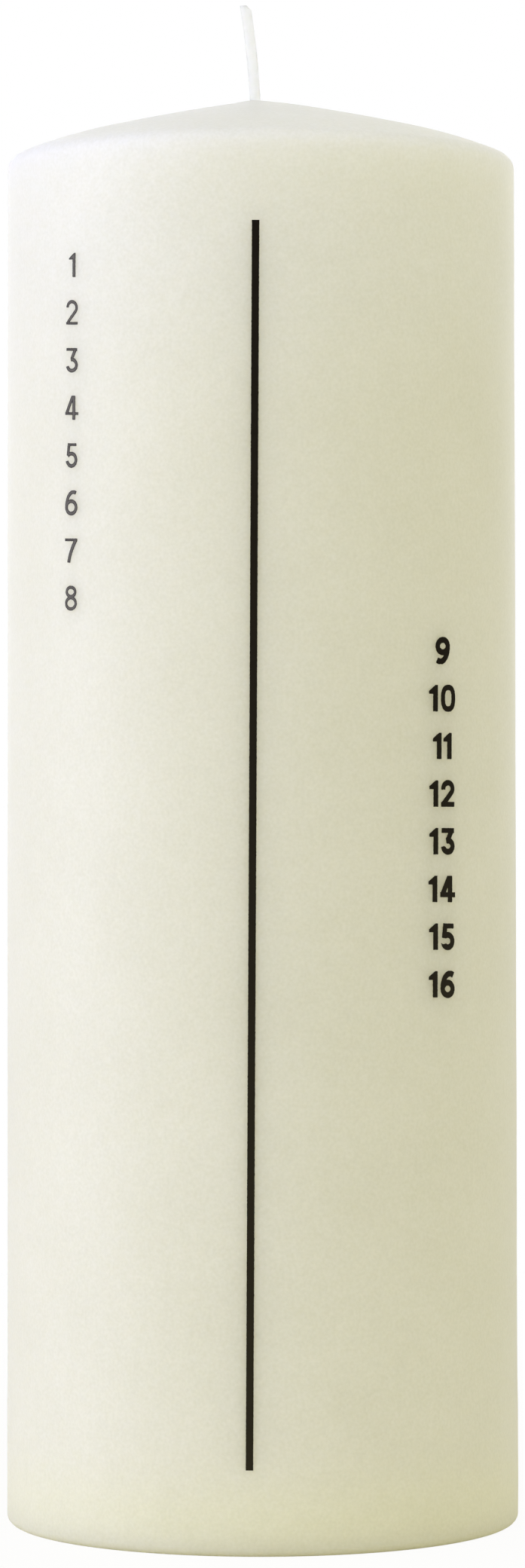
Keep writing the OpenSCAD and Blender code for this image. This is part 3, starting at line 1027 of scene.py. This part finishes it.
# %% Surroundings
world = bpy.data.worlds.new("white_studio")
bpy.context.scene.world = world
world.use_nodes = True
world.node_tree.nodes.clear()
put = partial(add_node, world.node_tree)
path = put("ShaderNodeLightPath", out=None)
direction = put("ShaderNodeTexCoord", out="Generated")
depth = put("ShaderNodeSeparateXYZ", [direction], out="Y")
shine = put("ShaderNodeMapRange", {"Value": depth, "From Min": 0.55, "From Max": 0.95,
                                   "To Min": 0.06, "To Max": 1.4})
air, gloss, white = [
    put("ShaderNodeBackground", {"Color": linear(colour), "Strength": strength})
    for colour, strength in (("#F8F7FF", 0.52), ("#FFFFFF", shine), ("#FFFFFF", 1.0))]
lit = put("ShaderNodeMixShader", [path["Is Glossy Ray"], air, gloss])
lit = put("ShaderNodeMixShader", [seen_rays(put, path), lit, white])
put("ShaderNodeOutputWorld", [lit], out=None)
print(world.name, len(world.node_tree.nodes), "nodes")

# %% [markdown]
# ## The lamps
# Two cool softboxes on the left, the key and a front one, give the long soft fall-off across the wax.
# Only the key shows in reflections, and it gives the left row of numerals part of its pale sheen; the
# rest is painted into that row's low ink coverage. Three weak ones above light the crown, a warm one
# fills the right, and two behind draw the outline's edges.

# %% Lamps
def softbox(name, azimuth, elevation, distance, width, height, colour, level, mirrored=False):
    """A rectangular lamp that faces the candle. Azimuth 0 is in front and 90 is right."""
    lamp = bpy.data.lights.new(name, "AREA")
    lamp.shape = "RECTANGLE"
    lamp.size, lamp.size_y = width, height
    lamp.color = colour
    lamp.energy = level * math.pi * width * height
    holder = bpy.data.objects.new(name, lamp)
    bpy.context.scene.collection.objects.link(holder)
    a, e = math.radians(azimuth), math.radians(elevation)
    away = Vector((math.sin(a) * math.cos(e), -math.cos(a) * math.cos(e), math.sin(e)))
    holder.location = Vector((0, 0, body_h / 2 * MM)) + away * distance
    holder.rotation_euler = away.to_track_quat("Z", "Y").to_euler()
    holder.visible_camera = False
    holder.visible_glossy = mirrored
    return holder


lamps = [
    softbox("key_softbox", -78, 11, 0.8, 0.6, 0.9, (0.67, 0.68, 1.0), 2.36, mirrored=True),
    softbox("front_softbox", -30, 5, 1.1, 0.6, 0.9, (0.66, 0.69, 1.0), 2.88),
    softbox("top_softbox", 0, 86, 0.6, 0.6, 0.6, (0.99, 1.0, 0.93), 0.14),
    softbox("high_front_softbox", 0, 65, 0.6, 0.4, 0.3, (0.99, 1.0, 0.9), 0.26),
    softbox("near_top_softbox", 60, 62, 0.32, 0.2, 0.2, (1.0, 0.99, 0.72), 0.75),
    softbox("right_softbox", 50, 5, 1.0, 0.6, 0.9, (1.0, 0.95, 0.45), 0.47),
    softbox("right_back_softbox", 120, 10, 0.9, 0.5, 0.9, (0.86, 0.86, 1.0), 1.38),
    softbox("left_back_softbox", -125, 10, 0.9, 0.5, 0.9, (0.87, 0.88, 1.0), 0.6),
]
print(len(lamps), "lamps")

# %% [markdown]
# ## The camera
# The photograph was taken level, from half the candle's height and about 0.7 m away with a long lens,
# slightly from the right of the printed line, and rolled by less than a tenth of a degree. With a
# sensor 36 mm along the picture's long side, the lens is the one that sees the candle as large.

# %% Camera
camera_away, camera_z, side_step = 694.7, 100.86, 0.11
camera_turn, camera_roll = math.radians(1.97), math.radians(0.08)
camera_data = bpy.data.cameras.new("studio_camera")
camera_data.lens = 116.25
camera_data.sensor_width = 36.0
camera = bpy.data.objects.new("studio_camera", camera_data)
bpy.context.scene.collection.objects.link(camera)
right = Vector((math.cos(camera_turn), math.sin(camera_turn), 0.0))
backward = Vector((math.sin(camera_turn), -math.cos(camera_turn), 0.0))
camera.location = (backward * camera_away + right * side_step + Vector((0, 0, camera_z))) * MM
camera.rotation_mode = "XYZ"
camera.rotation_euler = (math.pi / 2, camera_roll, camera_turn)
bpy.context.scene.camera = camera
bpy.context.scene.view_settings.view_transform = "Standard"
print("camera at", [round(c, 3) for c in camera.location], "lens", camera_data.lens, "mm")
